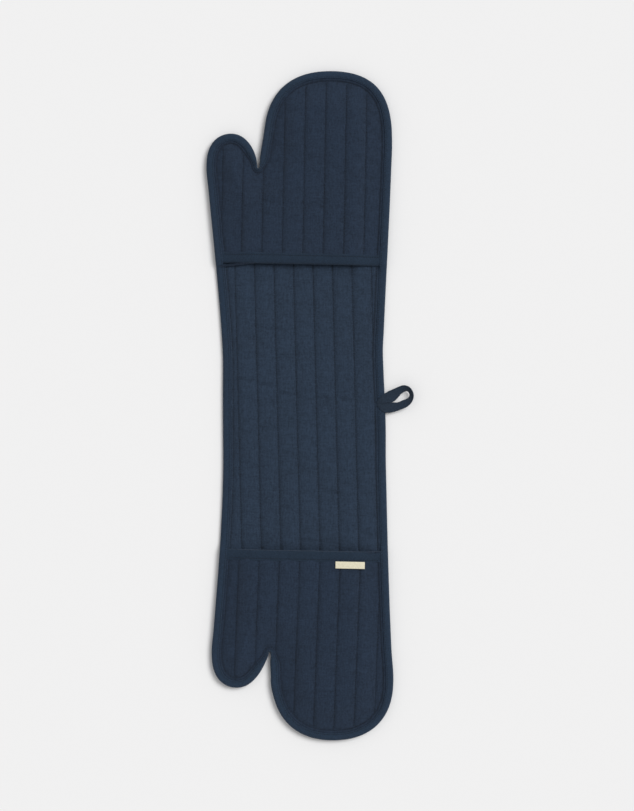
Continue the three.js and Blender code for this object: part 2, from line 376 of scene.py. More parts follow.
# %% [markdown]
# ## Widths and heights along the edge
# The tape shows 10 mm all round, but it has to squeeze into each slit: there it narrows to about 4 mm,
# faster on the finger side than on the thumb side. A second seam runs 3.8 mm inside the tape and holds
# the narrow ridge of cloth that is so plain along the right side of the mitt.
# Where the pocket lies on the strip the edge has more layers in it, so the tape is thicker there.

# %% Where a point is
def smooth(x):
    x = np.clip(x, 0, 1)
    return x * x * (3 - 2 * x)


TAPE_WIDTH, SLIT_TAPE, SEAM_IN, SLIT_SEAM_IN = 10 * MM, 4.2 * MM, 3.8 * MM, 3.0 * MM
edge_length = lengths(edge)[:-1]
narrow = np.zeros(len(edge))
for end, thumb_first in (("upper", False), ("lower", True)):
    signed = (edge_length - edge_length[slit_bottom(edge, end)] + total / 2) % total - total / 2
    on_thumb = signed < 0 if thumb_first else signed > 0
    fade = np.where(on_thumb, 19 * MM, 9 * MM)
    narrow = np.maximum(narrow, np.exp(-((signed / fade) ** 2)))
tape_width = TAPE_WIDTH + (SLIT_TAPE - TAPE_WIDTH) * narrow
seam_in = tape_width + SEAM_IN + (SLIT_SEAM_IN - SEAM_IN) * narrow

edge_tree = KDTree(len(edge))
for i, (x, y) in enumerate(edge):
    edge_tree.insert((x, y, 0), i)
edge_tree.balance()


def inside_seam(points):
    """How far each point is inside the seam that runs along the tape."""
    found = [edge_tree.find((x, y, 0))[1:] for x, y in points]
    index, far = np.array([f[0] for f in found]), np.array([f[1] for f in found])
    return far - seam_in[index]


class Mouth:
    """The straight mouth of a pocket: a line across the strip, and which way the pocket goes from it."""

    def __init__(self, name, side):
        corners = [v.co.copy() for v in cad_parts[name].data.vertices]
        halves = ([c for c in corners if c.x < 0], [c for c in corners if c.x > 0])
        ends = [min(half, key=lambda c: side * c.y) for half in halves]
        self.side, self.point = side, np.array(ends[0][:2])
        self.along = np.array((ends[1] - ends[0])[:2])
        self.along /= np.linalg.norm(self.along)
        self.into = side * np.array([-self.along[1], self.along[0]])

    def depth(self, points):
        return (np.asarray(points) - self.point) @ self.into

    def place(self, x, depth=0.0):
        """The point at this depth in the pocket whose foot on the free edge is at x."""
        return self.point + self.along * (x - self.point[0]) / self.along[0] + self.into * depth


mouths = {"upper": Mouth("upper_mouth_binding", 1), "lower": Mouth("lower_mouth_binding", -1)}


def in_pocket(points, start, full):
    """0 outside the pockets and 1 inside them, changing between two depths from a mouth."""
    shares = [smooth((m.depth(points) - start) / (full - start)) for m in mouths.values()]
    return np.maximum(*shares)


MOUTH_TAPE = 14.5 * MM
print("mouths:", {k: [round(c / MM, 1) for c in (*m.point, *m.into)] for k, m in mouths.items()})

# %% [markdown]
# ## The quilted panels
# Three panels are quilted: the strip itself, and the front of each pocket. On the real mitt two cloths with
# wadding between are run under the machine in parallel lines 26 to 27 mm apart, and each channel puffs up
# between its two lines. To make that in Blender, the panel starts as one flat face in the shape of the
# outer seam. Plane cuts slice it first along the quilting lines and then across them, so every line
# of stitches is a line of the mesh. Rings of faces are then extruded outwards, under the tape, and the
# whole panel is extruded down to give it its second cloth.

# %% Flat panel
# Lines of the mesh across one channel, in shares of its width and closer by the stitches, and along it.
COLUMNS = (0, 0.07, 0.2, 0.35, 0.5, 0.65, 0.8, 0.93)
CROSS_STEP = 4.5 * MM


class Rows:
    """Parallel quilting lines: x where line 0 passes y0, the lean of the lines, and their spacing."""

    def __init__(self, x, y0, lean, pitch):
        self.x, self.y0, self.lean, self.pitch = x * MM, y0 * MM, lean, pitch * MM

    def across(self, points):
        """Which line a point is on, with the channels as the parts between whole numbers."""
        points = np.asarray(points)
        return (points[..., 0] - self.x - self.lean * (points[..., 1] - self.y0)) / self.pitch

    def at(self, line, y):
        return self.x + self.lean * (y - self.y0) + self.pitch * line


strip_rows = Rows(-9.0, 0, -0.0245, 26.2)
front_rows = {"upper": Rows(-0.7, 223.5, 0.019, 27.4), "lower": Rows(-6.1, -230.9, 0.0385, 27.2)}


def cut(bm, point, normal, clear=False):
    """Slice a flat mesh along a line, and with clear drop what the normal points away from."""
    everything = bm.verts[:] + bm.edges[:] + bm.faces[:]
    bmesh.ops.bisect_plane(
        bm, geom=everything, dist=1e-6, plane_co=(*point, 0), plane_no=(*normal, 0), clear_inner=clear
    )


def on_ring(ring, co):
    """Place of a point along a closed ring: the ring's step it is in, and how far along that step."""
    best = (math.inf, 0, 0.0)
    _, near, _ = ring["tree"].find((co.x, co.y, 0))
    line = ring["line"]
    for i in range(near - 2, near + 2):
        a, b = line[i % len(line)], line[(i + 1) % len(line)]
        t = float(np.clip(np.dot((co.x, co.y) - a, b - a) / max(np.dot(b - a, b - a), 1e-15), 0, 1))
        far = math.hypot(*(a + (b - a) * t - (co.x, co.y)))
        best = min(best, (far, i % len(line), t))
    return best[1:]


def ring_at(distance):
    line = edge + edge_in * np.asarray(distance)[:, None]
    tree = KDTree(len(line))
    for i, (x, y) in enumerate(line):
        tree.insert((x, y, 0), i)
    tree.balance()
    return {"line": line, "tree": tree}


# From the seam outwards: how far each ring lies in from the edge, and how many mm its upper cloth and its
# lower cloth are raised over the level of a sewn line.
RIM = [
    (tape_width + 0.72 * (seam_in - tape_width), 0.85, -0.3),
    (tape_width + 0.36 * (seam_in - tape_width), 0.95, -0.3),
    (tape_width - 0.9 * MM, 0.3, 0.0),
    (tape_width * 0.55, 0.0, 0.3),
    (tape_width * 0.25, -0.5, 0.7),
]
seam_ring = ring_at(seam_in)
FRONT_FROM = 2 * MM  # a front's cloth starts this far into the tape of its mouth
MERGE = 0.9 * MM  # points of the flat panel that lie nearer than this become one


def flat_panel(rows, mouth=None):
    bm = bmesh.new()
    rim_step = bm.verts.layers.int.new("rim_step")
    bm.faces.new([bm.verts.new((x, y, 0)) for x, y in seam_ring["line"]])
    bm.normal_update()
    if mouth:
        cut(bm, mouth.place(0, FRONT_FROM), mouth.into, clear=True)
    for line in (whole + part for whole in range(-5, 5) for part in COLUMNS):
        cut(bm, (rows.at(line, 0), 0), (1, -rows.lean))
    low, high = min(v.co.y for v in bm.verts), max(v.co.y for v in bm.verts)
    for y in np.arange(math.ceil(low / CROSS_STEP), high / CROSS_STEP) * CROSS_STEP:
        cut(bm, (0, y), (0, 1))
    bmesh.ops.remove_doubles(bm, verts=bm.verts, dist=MERGE)
    ring = seam_ring
    border = [e for e in bm.edges if e.is_boundary]
    if mouth:
        past = FRONT_FROM + 0.2 * MM
        border = [e for e in border if max(mouth.depth(v.co[:2]) for v in e.verts) > past]
    for step, (distance, _, _) in enumerate(RIM, start=1):
        grown = bmesh.ops.extrude_edge_only(bm, edges=border)["geom"]
        outer = ring_at(distance)
        for v in (g for g in grown if isinstance(g, bmesh.types.BMVert)):
            i, t = on_ring(ring, v.co)
            j = (i + 1) % len(edge)
            v.co.xy = outer["line"][i] * (1 - t) + outer["line"][j] * t
            v[rim_step] = step
        border, ring = [g for g in grown if isinstance(g, bmesh.types.BMEdge)], outer
        border = [e for e in border if all(v[rim_step] == step for v in e.verts)]
    return bm


# %% [markdown]
# ## Wadding by pressure
# The channels get their crown from a cloth simulation: the flat pad is given a little air pressure and a
# little slack, as if each cloth were cut 0.7 per cent too large, while everything that is sewn is pinned.
# The slack along a channel has nowhere to go, so it shows as the small puckers beside every line
# of stitches. What the simulation gives is how far each point rises. That height is then laid over the
# real levels of the mitt, and one subdivision with the sewn lines creased finishes the surface.

# %% Inflate a flat pad
def as_object(name, mesh, material=None):
    made = bpy.data.objects.new(name, mesh)
    bpy.context.scene.collection.objects.link(made)
    if material:
        mesh.materials.append(material)
    return made


def coordinates(mesh):
    flat = np.zeros(len(mesh.vertices) * 3)
    mesh.vertices.foreach_get("co", flat)
    return flat.reshape(-1, 3)


def evaluated(obj):
    """A new mesh with the object's modifiers applied."""
    graph = bpy.context.evaluated_depsgraph_get()
    return bpy.data.meshes.new_from_object(obj.evaluated_get(graph), depsgraph=graph)


CALM = 1.0 * MM  # half the distance between the two cloths along a sewn line


def inflate(mesh, pinned, slack=0.007, frames=20):
    """Where each point of a flat pad goes under pressure, with the pinned points held."""
    scene = bpy.context.scene
    pad = as_object("pad_under_pressure", mesh.copy())
    group = pad.vertex_groups.new(name="sewn")
    group.add([int(i) for i in pinned], 1.0, "REPLACE")
    cloth = pad.modifiers.new("wadding", "CLOTH")
    cloth.settings.quality = 5
    cloth.settings.mass = 0.05
    cloth.settings.air_damping = 2.0
    cloth.settings.tension_stiffness = cloth.settings.compression_stiffness = 12
    cloth.settings.shear_stiffness = 4
    cloth.settings.bending_stiffness = 0.05
    cloth.settings.shrink_min = -slack
    cloth.settings.use_pressure = True
    cloth.settings.uniform_pressure_force = 40
    cloth.settings.vertex_group_mass = "sewn"
    cloth.settings.effector_weights.gravity = 0
    cloth.collision_settings.use_collision = False
    cloth.point_cache.frame_start, cloth.point_cache.frame_end = 1, frames
    for number in range(1, frames + 1):
        scene.frame_set(number)
    result = evaluated(pad)
    places = coordinates(result)
    bpy.data.meshes.remove(result)
    bpy.data.objects.remove(pad)
    scene.frame_set(1)
    return places


# %% [markdown]
# The flat panel is given its second cloth by an extrude. Then each point is asked where it lies and whether
# it is sewn, because only what isn't sewn may rise. The edges of the mesh along a line of stitches are
# creased, so that the subdivision keeps them as valleys.

# %% Two cloths, and what is sewn
ROW_HALF, SEAM_HALF = 1.0 * MM, 0.8 * MM  # a point this near to a row, or to the seam, is held by it
STITCH_CREASE = 0.7
WOBBLE = 0.08 * MM  # cloth is never quite flat, which gives the pressure a way to start


def add_second_cloth(bm):
    second = bm.verts.layers.int.new("second_cloth")
    bmesh.ops.recalc_face_normals(bm, faces=bm.faces)
    top = bm.faces[:]
    if sum(f.normal.z for f in top) < 0:
        bmesh.ops.reverse_faces(bm, faces=top)
    under = bmesh.ops.extrude_face_region(bm, geom=top)["geom"]
    for v in (g for g in under if isinstance(g, bmesh.types.BMVert)):
        v[second] = 1
    for v in bm.verts:
        v.co.z = CALM * (-1 if v[second] else 1)
    bmesh.ops.recalc_face_normals(bm, faces=bm.faces)
    bm.verts.index_update()


def points_of(bm, rows):
    """Where each point lies, which cloth and ring it is in, and what holds it."""
    second, rim_step = (bm.verts.layers.int[name] for name in ("second_cloth", "rim_step"))
    at = SimpleNamespace(flat=np.array([v.co[:2] for v in bm.verts]))
    at.under = np.array([v[second] for v in bm.verts], bool)
    at.ring = np.array([v[rim_step] for v in bm.verts])
    at.across, at.inside = rows.across(at.flat), inside_seam(at.flat)
    at.on_row = np.abs(at.across - np.round(at.across)) * rows.pitch < ROW_HALF
    at.sewn = at.on_row | (at.ring > 0) | (at.inside < SEAM_HALF)
    return at


def wobble_and_crease(bm, at):
    random = np.random.default_rng(11)
    for v, wobble in zip(bm.verts, random.normal(0, WOBBLE, len(bm.verts))):
        if not (at.on_row[v.index] or at.ring[v.index]):
            v.co.z += wobble
    creases = bm.edges.layers.float.new("crease_edge")
    for e in bm.edges:
        a, b = (v.index for v in e.verts)
        row = at.on_row[a] and at.on_row[b] and round(at.across[a]) == round(at.across[b])
        seam = max(at.inside[a], at.inside[b]) < SEAM_HALF
        if (row or seam) and not (at.ring[a] or at.ring[b]):
            e[creases] = STITCH_CREASE


# %% [markdown]
# The rise of each point is softly capped at the crown's height, and laid over the real level of the mitt
# there. After the subdivision the thread's own pull is added: a narrow groove along each line of stitches,
# down from above and, less, up from below.

# %% Raise the channels and pull the thread tight
CROWN = 2.0 * MM  # height of a channel over its lines of stitches
MOST_SHIFT = 0.5 * MM  # how far a point may move along the cloth
GROOVE, GROOVE_DEPTH, GROOVE_UNDER = 1.5 * MM, 0.45 * MM, 0.4  # reach, depth, and its share from below


def channel_rise(name, mesh, at):
    """How far each point rises over the level of a sewn line, and how far it moves along the cloth."""
    moved = inflate(mesh, np.flatnonzero(at.sewn))
    raw = np.where(at.under, -1, 1) * moved[:, 2] - CALM
    print(f"{name}: rises {np.percentile(raw, (50, 90, 99)) / MM} mm before the cap")
    rise = CROWN * np.tanh(2 * np.maximum(raw, 0) / CROWN)
    shift = np.clip(moved[:, :2] - at.flat, -MOST_SHIFT, MOST_SHIFT)
    rise[at.sewn] = 0
    return rise, shift


def pull_thread(mesh, rows):
    """Press the grooves of the stitches, and keep them in the attribute named groove, where the cloth is
    given painted shade.
    """
    place = coordinates(mesh)
    across, inside = rows.across(place[:, :2]), inside_seam(place[:, :2])
    off = np.minimum(np.abs(across - np.round(across)) * rows.pitch, np.abs(inside))
    in_line = np.exp(-((off / GROOVE) ** 2))
    outside = inside < -0.5 * GROOVE
    in_line[outside] = np.exp(-((inside[outside] / GROOVE) ** 2))
    groove = mesh.attributes.new("groove", "FLOAT", "POINT")
    groove.data.foreach_set("value", in_line)
    normals = np.zeros(len(place) * 3)
    mesh.vertices.foreach_get("normal", normals)
    place[:, 2] -= in_line * GROOVE_DEPTH * np.where(normals[2::3] > 0, 1, -GROOVE_UNDER)
    mesh.vertices.foreach_set("co", place.ravel())


# %% A finished pad
def quilted(name, rows, mouth, levels):
    """A closed pad. levels(points, inside) gives the heights of a sewn line and the shares of the crown."""
    bm = flat_panel(rows, mouth)
    add_second_cloth(bm)
    at = points_of(bm, rows)
    wobble_and_crease(bm, at)
    mesh = bpy.data.meshes.new(name)
    bm.to_mesh(mesh)
    bm.free()
    rise, shift = channel_rise(name, mesh, at)
    upper, lower, crown_up, crown_down = levels(at.flat, at.inside)
    rim_up, rim_down = (np.array([0] + [step[k] for step in RIM])[at.ring] * MM for k in (1, 2))
    z = np.where(at.under, lower - rise * crown_down, upper + rise * crown_up)
    z = z + np.where(at.under, rim_down, rim_up)
    mesh.vertices.foreach_set("co", np.column_stack([at.flat + shift, z]).ravel())
    puff = mesh.attributes.new("puff", "FLOAT", "POINT")
    puff.data.foreach_set("value", np.clip(rise / CROWN, 0, 1))
    pad = as_object(name, mesh)
    finish = pad.modifiers.new("finish", "SUBSURF")
    finish.levels = finish.render_levels = 1
    smooth_mesh = evaluated(pad)
    bpy.data.objects.remove(pad)
    pull_thread(smooth_mesh, rows)
    print(f"{name}: {len(mesh.vertices)} points, {len(smooth_mesh.polygons)} faces when subdivided")
    return smooth_mesh


# %% [markdown]
# ## Levels of the strip and the fronts
# The strip lies on the table, so its lower channels are pressed flat there. A pocket front starts low at
# the seam, where all layers are sewn together, and rises to the full height of the frame's pocket
# over the first few centimetres, which leaves a thin hollow for the hand.

# %% The three quilted pads
STRIP_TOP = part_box("band_face")[1].z
FRONT_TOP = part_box("upper_hand_outer")[1].z
STRIP_ROW_UP, STRIP_ROW_DOWN = STRIP_TOP - 1.9 * MM, 1.15 * MM
FRONT_SEAM_UP, FRONT_SEAM_DOWN = 7.5 * MM, 5.3 * MM
FRONT_ROW_UP, FRONT_ROW_DOWN = FRONT_TOP - 2.0 * MM, FRONT_TOP - 6.2 * MM
FRONT_RISE = 38 * MM
LOWER_DIP, DIP_START, DIP_END = 2.3 * MM, -11 * MM, 36 * MM  # its depth, and where it lies from the mouth
MOUTH_CROWN = 0.28  # share of the crown that is left under the tape of a mouth


def strip_levels(points, inside):
    """The strip dips a little just before it goes under the lower front, where its channels bulge."""
    hidden = in_pocket(points, 5 * MM, 30 * MM)
    depth = mouths["lower"].depth(points)
    dip = smooth((depth - DIP_START) / -DIP_START) * (1 - smooth((depth - 6 * MM) / (DIP_END - 6 * MM)))
    dip *= smooth(inside / (14 * MM))
    ones = np.ones(len(points))
    crown = (1 - 0.25 * hidden) * (1 + 0.7 * dip)
    return STRIP_ROW_UP * ones - dip * LOWER_DIP, STRIP_ROW_DOWN * ones, crown, 0.6 * ones


def front_height(inside):
    share = smooth(np.maximum(inside, 0) / FRONT_RISE)
    up = FRONT_SEAM_UP + (FRONT_ROW_UP - FRONT_SEAM_UP) * share
    down = FRONT_SEAM_DOWN + (FRONT_ROW_DOWN - FRONT_SEAM_DOWN) * share
    return up, down


def front_levels(mouth):
    def levels(points, inside):
        up, down = front_height(inside)
        free = smooth((mouth.depth(points) - 11 * MM) / (7 * MM))
        crown = MOUTH_CROWN + (1 - MOUTH_CROWN) * free
        return up, down, crown, 0.45 * crown

    return levels


pad_meshes = {"strip": quilted("strip", strip_rows, None, strip_levels)}
for end, mouth in mouths.items():
    pad_meshes[end] = quilted(f"{end}_front", front_rows[end], mouth, front_levels(mouth))

# %% [markdown]
# ## Creases across the band
# A strip that is folded in a drawer keeps a few soft, short creases across its channels. Each one here is
# a shallow groove along a short line, with a low ridge beside it where the cloth goes that was pushed
# away. It is pressed into the upper cloth after the subdivision, and marked in the groove attribute, which
# darkens the cloth there as painted shade.

# %% Press the creases
# Each crease: the two ends in mm, and how deep it is pressed.
CREASES = [
    (-88, 36, -68, 34, 0.75), (-64, 31, -40, 27, 0.8), (-38, 17, -11, 15, 0.7), (-6, 10, 15, 10, 0.6),
    (17, 11, 37, 10, 0.7), (45, 11, 64, 6, 0.75), (-85, -32, -65, -35, 0.55), (-62, -30, -40, -31, 0.5),
    (-5, -23, 38, -24, 0.5), (25, -116, 66, -119, 0.7), (-33, -136, -9, -141, 0.65),
    (-5, -181, 41, -181, 0.6), (-64, 102, -14, 103, 0.35), (15, 120, 34, 118, 0.35),
    (45, 50, 89, 48, 0.4), (-60, 60, -20, 66, 0.3), (48, -60, 80, -64, 0.35),
]
CREASE_DEPTH, CREASE_HALF, CREASE_FADE = 1.7 * MM, 1.8 * MM, 4 * MM  # depth, half width, fade at its ends
CREASE_SHADE = 0.7  # how much of a full groove's shade a crease of 1 mm has


def press_creases(mesh):
    co = coordinates(mesh)
    top = co[:, 2] > STRIP_TOP * 0.55  # the upper cloth
    wear_and_painted_shade = np.zeros(len(co))
    mesh.attributes["groove"].data.foreach_get("value", wear_and_painted_shade)
    for x0, y0, x1, y1, depth in CREASES:
        a, b = np.array([x0, y0]) * MM, np.array([x1, y1]) * MM
        t = np.clip((co[:, :2] - a) @ (b - a) / np.dot(b - a, b - a), 0, 1)
        nearest = a + t[:, None] * (b - a)
        nearest[:, 1] += 1.2 * MM * np.sin(t * 7 + x0)  # a crease is never quite straight
        off = (co[:, 1] - nearest[:, 1]) / CREASE_HALF
        past_end = np.abs(co[:, 0] - nearest[:, 0]) / CREASE_FADE
        taper = np.sin(np.pi * np.clip(t, 0.08, 0.92)) ** 0.5
        dent = np.exp(-(off**2)) - 0.45 * np.exp(-((off - 2.2) ** 2) / 1.5)
        pressed = dent * np.exp(-(past_end**2)) * taper * depth * CREASE_DEPTH
        co[top, 2] -= pressed[top]
        # The crease is also darkened in the groove attribute: painted shade.
        wear_and_painted_shade[top] += CREASE_SHADE * np.maximum(pressed, 0)[top] / MM
    mesh.vertices.foreach_set("co", co.ravel())
    mesh.attributes["groove"].data.foreach_set("value", np.clip(wear_and_painted_shade, 0, 1))


press_creases(pad_meshes["strip"])


# %% [markdown]
# ## Cutting the pads where the mitt bends
# The strip folds at two places and each pocket mouth lifts like a beak. Blender can bend a piece over one
# joint only, so the strip is parted in the middle, where nothing moves, and each front is parted
# where its cuff starts to lift and again down its middle line of stitches. The cuts are closed with caps
# whose edges stay sharp, so no shading line shows on the cloth.

# %% Part a mesh
def parted(mesh, name, *planes):
    """A capped copy of the mesh, cut at planes (point, normal) and kept where their normals point."""
    bm = bmesh.new()
    bm.from_mesh(mesh)
    for f in bm.faces:
        f.smooth = True
    for point, normal in planes:
        geom = bm.verts[:] + bm.edges[:] + bm.faces[:]
        bmesh.ops.bisect_plane(
            bm, geom=geom, dist=2e-5, plane_co=(*point, 0), plane_no=(*normal, 0), clear_inner=True
        )
        rim = [e for e in bm.edges if e.is_boundary]
        for cap in bmesh.ops.holes_fill(bm, edges=rim, sides=0)["faces"]:
            cap.smooth = False
        for e in rim:
            e.smooth = False
    part = bpy.data.meshes.new(name)
    bm.to_mesh(part)
    bm.free()
    return part


# %% The eight quilted pieces
pads = {}
for end, side in (("upper", 1), ("lower", -1)):
    pads[f"{end}_strip"] = parted(pad_meshes["strip"], f"{end}_strip", ((0, 0), (0, side)))
    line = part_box(f"{end}_cuff_outer")[1 if side > 0 else 0].y + 0.15 * MM * side
    rows = front_rows[end]
    pads[f"{end}_hand"] = parted(pad_meshes[end], f"{end}_hand", ((0, line), (0, side)))
    cuff = parted(pad_meshes[end], "cuff", ((0, line), (0, -side)))
    for name, way in (("left", -1), ("right", 1)):
        middle = ((rows.at(0, 0), 0), (way, -way * rows.lean))
        pads[f"{end}_cuff_{name}"] = parted(cuff, f"{end}_cuff_{name}", middle)
    bpy.data.meshes.remove(cuff)
quilts = {
    name: as_object(name, mesh, face_cotton if name.endswith("strip") else front_cotton)
    for name, mesh in pads.items()
}
print("pads:", {name: len(o.data.polygons) for name, o in quilts.items()})


# %% [markdown]
# ## Tapes
# A tape is a flat strip of cloth led round or along an edge. All of them here are one shape: a closed
# section, drawn as a ring of points, that is led through a list of places. A flat grid has just the right
# faces for it, with its rows for the steps along the tape and its columns for the ring of the section,
# so the grid is made first, rolled up by moving its points, and its two long edges are welded. Its own
# UV map keeps the length and width of the tape in metres, so the bias weave follows every bend.

# %% Roll a grid into a tape
def tape(name, places, material):
    """places[i, j] is point j of the closed section at step i."""
    steps, ring = places.shape[:2]
    bm = bmesh.new()
    bmesh.ops.create_grid(bm, x_segments=ring, y_segments=steps - 1, size=1)
    bm.verts.index_update()
    closed = np.concatenate([places, places[:, :1]], axis=1)
    run = np.concatenate([[0], np.cumsum(np.linalg.norm(np.diff(places.mean(1), axis=0), axis=1))])
    girth = np.zeros(closed.shape[:2])
    girth[:, 1:] = np.cumsum(np.linalg.norm(np.diff(closed, axis=1), axis=2), axis=1)
    uv = bm.loops.layers.uv.new("along_tape")
    for face in bm.faces:
        face.smooth = True
        for loop in face.loops:
            i, j = divmod(loop.vert.index, ring + 1)
            loop[uv].uv = (run[i], girth[i, j])
    for v in bm.verts:
        v.co = closed[divmod(v.index, ring + 1)]
    bmesh.ops.remove_doubles(bm, verts=bm.verts, dist=1e-7)
    ends = [e for e in bm.edges if e.is_boundary]
    for e in ends:
        e.smooth = False
    bmesh.ops.holes_fill(bm, edges=ends, sides=0)
    bmesh.ops.recalc_face_normals(bm, faces=bm.faces)
    mesh = bpy.data.meshes.new(name)
    bm.to_mesh(mesh)
    bm.free()
    return as_object(name, mesh, material)


def ripple(run, seed):
    """A small uneven wave along a seam, between about -1 and 1, the same each time."""
    waves = ((31, 1.3), (17, 2.1), (9.5, 4.4), (5.7, 0.6))
    return sum(np.sin(run / MM * 2 * np.pi / w + p * seed) * w**0.3 for w, p in waves) / 6


# %% [markdown]
# The edge binding is folded over the raw edges of every layer. Seen in section it is a U lying on its side:
# round at the outside, nearly flat above and below, with a dip where the topstitch pulls it down
# and a thin folded lip at its inner side. It is led round the whole edge and parted at the middle of the
# strip, as the strip is.

# %% Edge binding
BINDING_UNDER = 0.12 * MM  # how far over the table its lower face lies
POCKET_EDGE_TOP = 9.5 * MM
edge_top = STRIP_TOP + (POCKET_EDGE_TOP - STRIP_TOP) * in_pocket(edge, -9 * MM, 4 * MM)
edge_top = edge_top + 0.10 * MM * ripple(edge_length, 1.0) * (1 - narrow)
TOPSTITCH_IN = 1.7 * MM


def binding_section(i):
    """The section at one step of the edge, as (distance in from the edge, height), anticlockwise."""
    w, top, low = tape_width[i], edge_top[i], BINDING_UNDER
    mid, wave = (top + low) / 2, 0.16 * MM * ripple(edge_length[i], 2.7)
    lip, wall = w + wave, 0.85 * MM
    outside = [
        (lip, top - 0.62 * MM), (lip - 0.15 * MM, top - 0.22 * MM), (lip - 0.7 * MM, top - 0.12 * MM),
        (w - TOPSTITCH_IN, top - 0.36 * MM), (w - TOPSTITCH_IN - 1.0 * MM, top - 0.08 * MM),
        (w * 0.5, top), (w * 0.3, top - 0.15 * MM), (w * 0.15, top - 0.75 * MM),
        (w * 0.05, top - 1.6 * MM), (0.0, mid),
        (w * 0.05, low + 1.4 * MM), (w * 0.15, low + 0.5 * MM), (w * 0.3, low + 0.08 * MM),
        (w * 0.5, low), (w - TOPSTITCH_IN - 1.0 * MM, low), (w - TOPSTITCH_IN, low + 0.25 * MM),
        (lip - 0.7 * MM, low + 0.05 * MM), (lip - 0.15 * MM, low + 0.12 * MM), (lip, low + 0.5 * MM),
    ]
    inside = [
        (lip - 0.2 * MM, low + wall), (w * 0.5, low + wall), (w * 0.25, low + 1.5 * MM), (w * 0.12, mid),
        (w * 0.25, top - 1.7 * MM), (w * 0.5, top - wall - 0.1 * MM), (lip - 0.2 * MM, top - wall - 0.2 * MM),
    ]
    return outside + inside


def binding_places(indices):
    rows = []
    for i in indices:
        i %= len(edge)
        rows.append([(*(edge[i] + edge_in[i] * far), z) for far, z in binding_section(i)])
    return np.array(rows)


start = int(np.argmin(np.abs(edge[:, 1]) + (edge[:, 0] < 0)))
turn = int(np.argmin(np.abs(edge[:, 1]) + (edge[:, 0] > 0)))
for i in (start, turn):
    edge[i, 1] = 0.0
turn += len(edge) if turn < start else 0
bindings = {
    "upper": tape("upper_edge_binding", binding_places(range(start, turn + 1)), bias_tape),
    "lower": tape("lower_edge_binding", binding_places(range(turn, start + len(edge) + 1)), bias_tape),
}
print("edge binding faces:", {k: len(o.data.polygons) for k, o in bindings.items()})

# %% [markdown]
# The mouth binding wraps the front's free edge in the same way. It follows the height of the front
# across the mitt, dips to the seam at each side, and tucks its ends under the edge binding.
# It is made in two halves that meet at the middle line of stitches, because the mouth lifts in the
# middle while both of its ends stay sewn down.

# %% Mouth bindings
def seam_crossing(mouth, side, depth=7 * MM, inside=-4.5 * MM):
    """x where the mouth's line meets the place that far inside the seam, left (-1) or right (1)."""
    xs = np.linspace(side * 80 * MM, side * 125 * MM, 181)
    places = np.array([mouth.place(x, depth) for x in xs])
    return float(xs[np.argmax(inside_seam(places) < inside)])


def mouth_section(mouth, x):
    places = mouth.place(x, 6 * MM)[None]
    up, down = (float(h[0]) for h in front_height(inside_seam(places)))
    wave = ripple(np.array(x), 3.1 * mouth.side)
    top = up + 1.15 * MM + 0.12 * MM * wave
    low = down - 0.9 * MM
    mid, lip, wall = (top + low) / 2, MOUTH_TAPE + 0.2 * MM * wave, 0.8 * MM
    outside = [
        (lip, top - 0.75 * MM), (lip - 0.12 * MM, top - 0.25 * MM), (lip - 1.2 * MM, top - 0.1 * MM),
        (lip - 3.0 * MM, top - 0.42 * MM), (lip - 4.6 * MM, top - 0.05 * MM), (lip * 0.45, top + 0.1 * MM),
        (3.2 * MM, top - 0.1 * MM), (1.4 * MM, top - 0.7 * MM), (0.35 * MM, top - 1.7 * MM), (0.0, mid),
        (0.35 * MM, low + 1.4 * MM), (1.4 * MM, low + 0.5 * MM), (3.2 * MM, low + 0.08 * MM),
        (lip * 0.45, low), (lip - 4.6 * MM, low), (lip - 3.0 * MM, low + 0.3 * MM),
        (lip - 1.2 * MM, low + 0.05 * MM), (lip, low + 0.3 * MM),
    ]
    inside = [
        (lip - 0.2 * MM, low + wall), (lip * 0.4, low + wall), (2.2 * MM, low + 1.3 * MM), (1.1 * MM, mid),
        (2.2 * MM, top - 1.5 * MM), (lip * 0.4, top - wall), (lip - 0.2 * MM, top - wall - 0.15 * MM),
    ]
    return [(*mouth.place(x, depth), z) for depth, z in outside + inside]


mouth_bindings = {}
for end, mouth in mouths.items():
    middle = front_rows[end].at(0, mouth.point[1])
    for side, name in ((-1, "left"), (1, "right")):
        tip = seam_crossing(mouth, side)
        xs = np.linspace(middle, tip, 40)
        places = np.array([mouth_section(mouth, x) for x in xs])
        mouth_bindings[end, name] = tape(f"{end}_mouth_binding_{name}", places, mouth_tape)
print("mouth bindings:", len(mouth_bindings))

# %% [markdown]
# ## Stitches
# Each stitch is a short rounded bead of thread. One bead is made, an Array repeats it at the machine's pitch
# of 3.1 mm, and a Curve modifier leads the row along its line, which has been laid on the cloth below
# by dropping each of its points on the finished surface. That is much like sewing it, and one bead
# of two dozen faces serves thousands of stitches.

# %% One bead, and a row of them along a line
PITCH, BEAD_LENGTH, BEAD_WIDTH = 3.1 * MM, 1.6 * MM, 1.15 * MM


def bead_mesh():
    bm = bmesh.new()
    bmesh.ops.create_uvsphere(bm, u_segments=6, v_segments=4, radius=0.5)
    lying = Vector((0, 0, 1)).rotation_difference(Vector((1, 0, 0))).to_matrix()
    bmesh.ops.rotate(bm, verts=bm.verts, matrix=lying, cent=(0, 0, 0))
    bmesh.ops.scale(bm, verts=bm.verts, vec=(BEAD_LENGTH, BEAD_WIDTH, BEAD_WIDTH))
    bmesh.ops.translate(bm, verts=bm.verts, vec=(PITCH / 2, 0, 0))
    for f in bm.faces:
        f.smooth = True
    mesh = bpy.data.meshes.new("bead")
    bm.to_mesh(mesh)
    bm.free()
    return mesh


bead = bead_mesh()


def evenly(line, step):
    far = np.concatenate([[0], np.cumsum(np.linalg.norm(np.diff(line, axis=0), axis=1))])
    at = np.linspace(0, far[-1], max(2, int(far[-1] / step) + 1))
    return np.column_stack([np.interp(at, far, line[:, k]) for k in range(line.shape[1])]), far[-1]


